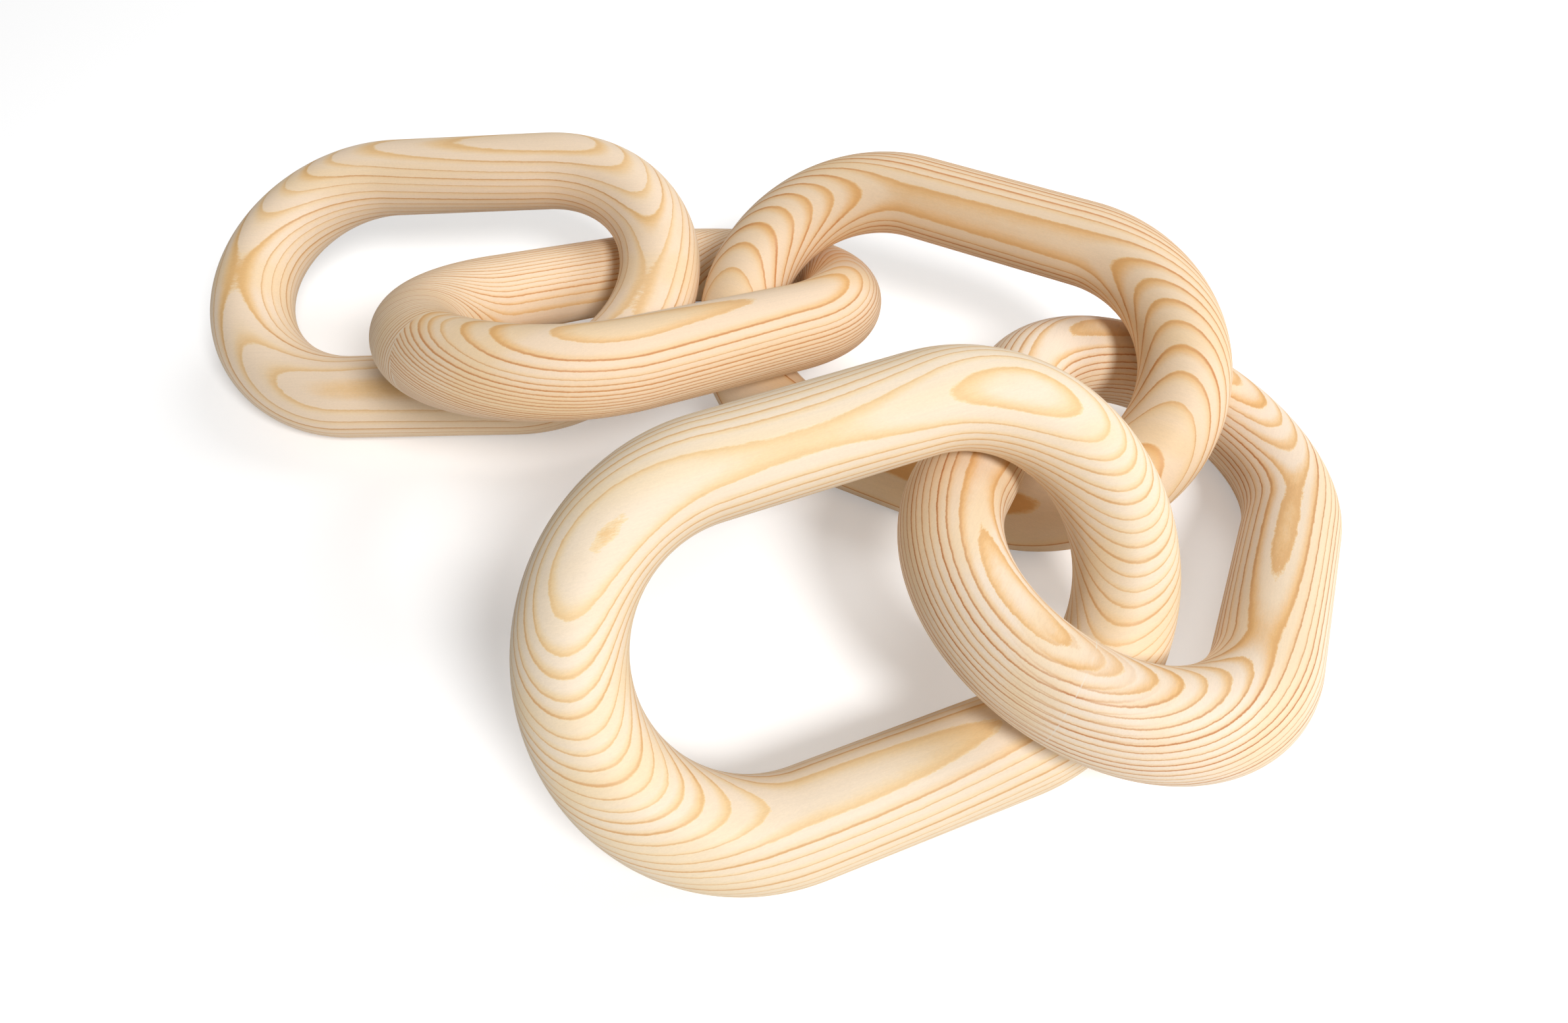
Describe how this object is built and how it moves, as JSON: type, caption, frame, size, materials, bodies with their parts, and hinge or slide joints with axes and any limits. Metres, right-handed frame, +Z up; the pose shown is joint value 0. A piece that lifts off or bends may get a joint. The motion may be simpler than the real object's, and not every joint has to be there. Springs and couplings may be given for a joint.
{
  "type": "wooden chain",
  "caption": "Loose chain of large interlocked round-bar wooden links with long oval eyes, lying in a curve on a table.",
  "frame": {"origin": "on the table top, under the middle of the whole chain's footprint", "axes": "+Z up from the table; +X along the chain's greatest length, from the left end link towards the fourth link; +Y away from the front end link"},
  "size_m": [0.3343, 0.2429, 0.082],
  "materials": {
    "pale_pine": "bare pine sanded smooth, satin-matte, pale with fine faint growth lines",
    "golden_pine": "bare pine sanded smooth, satin-matte, golden with fine lines and nested loops",
    "amber_pine": "bare pine sanded smooth, satin-matte, warmer, with thin brown lines and arched grain at the bends",
    "striped_pine": "bare pine sanded smooth, satin-matte, strong orange-brown growth rings",
    "cream_pine": "bare pine sanded smooth, satin-matte, cream with broad yellow bands"
  },
  "bodies": {
    "root": {"left_end_link": "pale_pine", "second_link": "golden_pine", "middle_link": "amber_pine", "fourth_link": "striped_pine", "front_end_link": "cream_pine"}
  },
  "joints": []
}
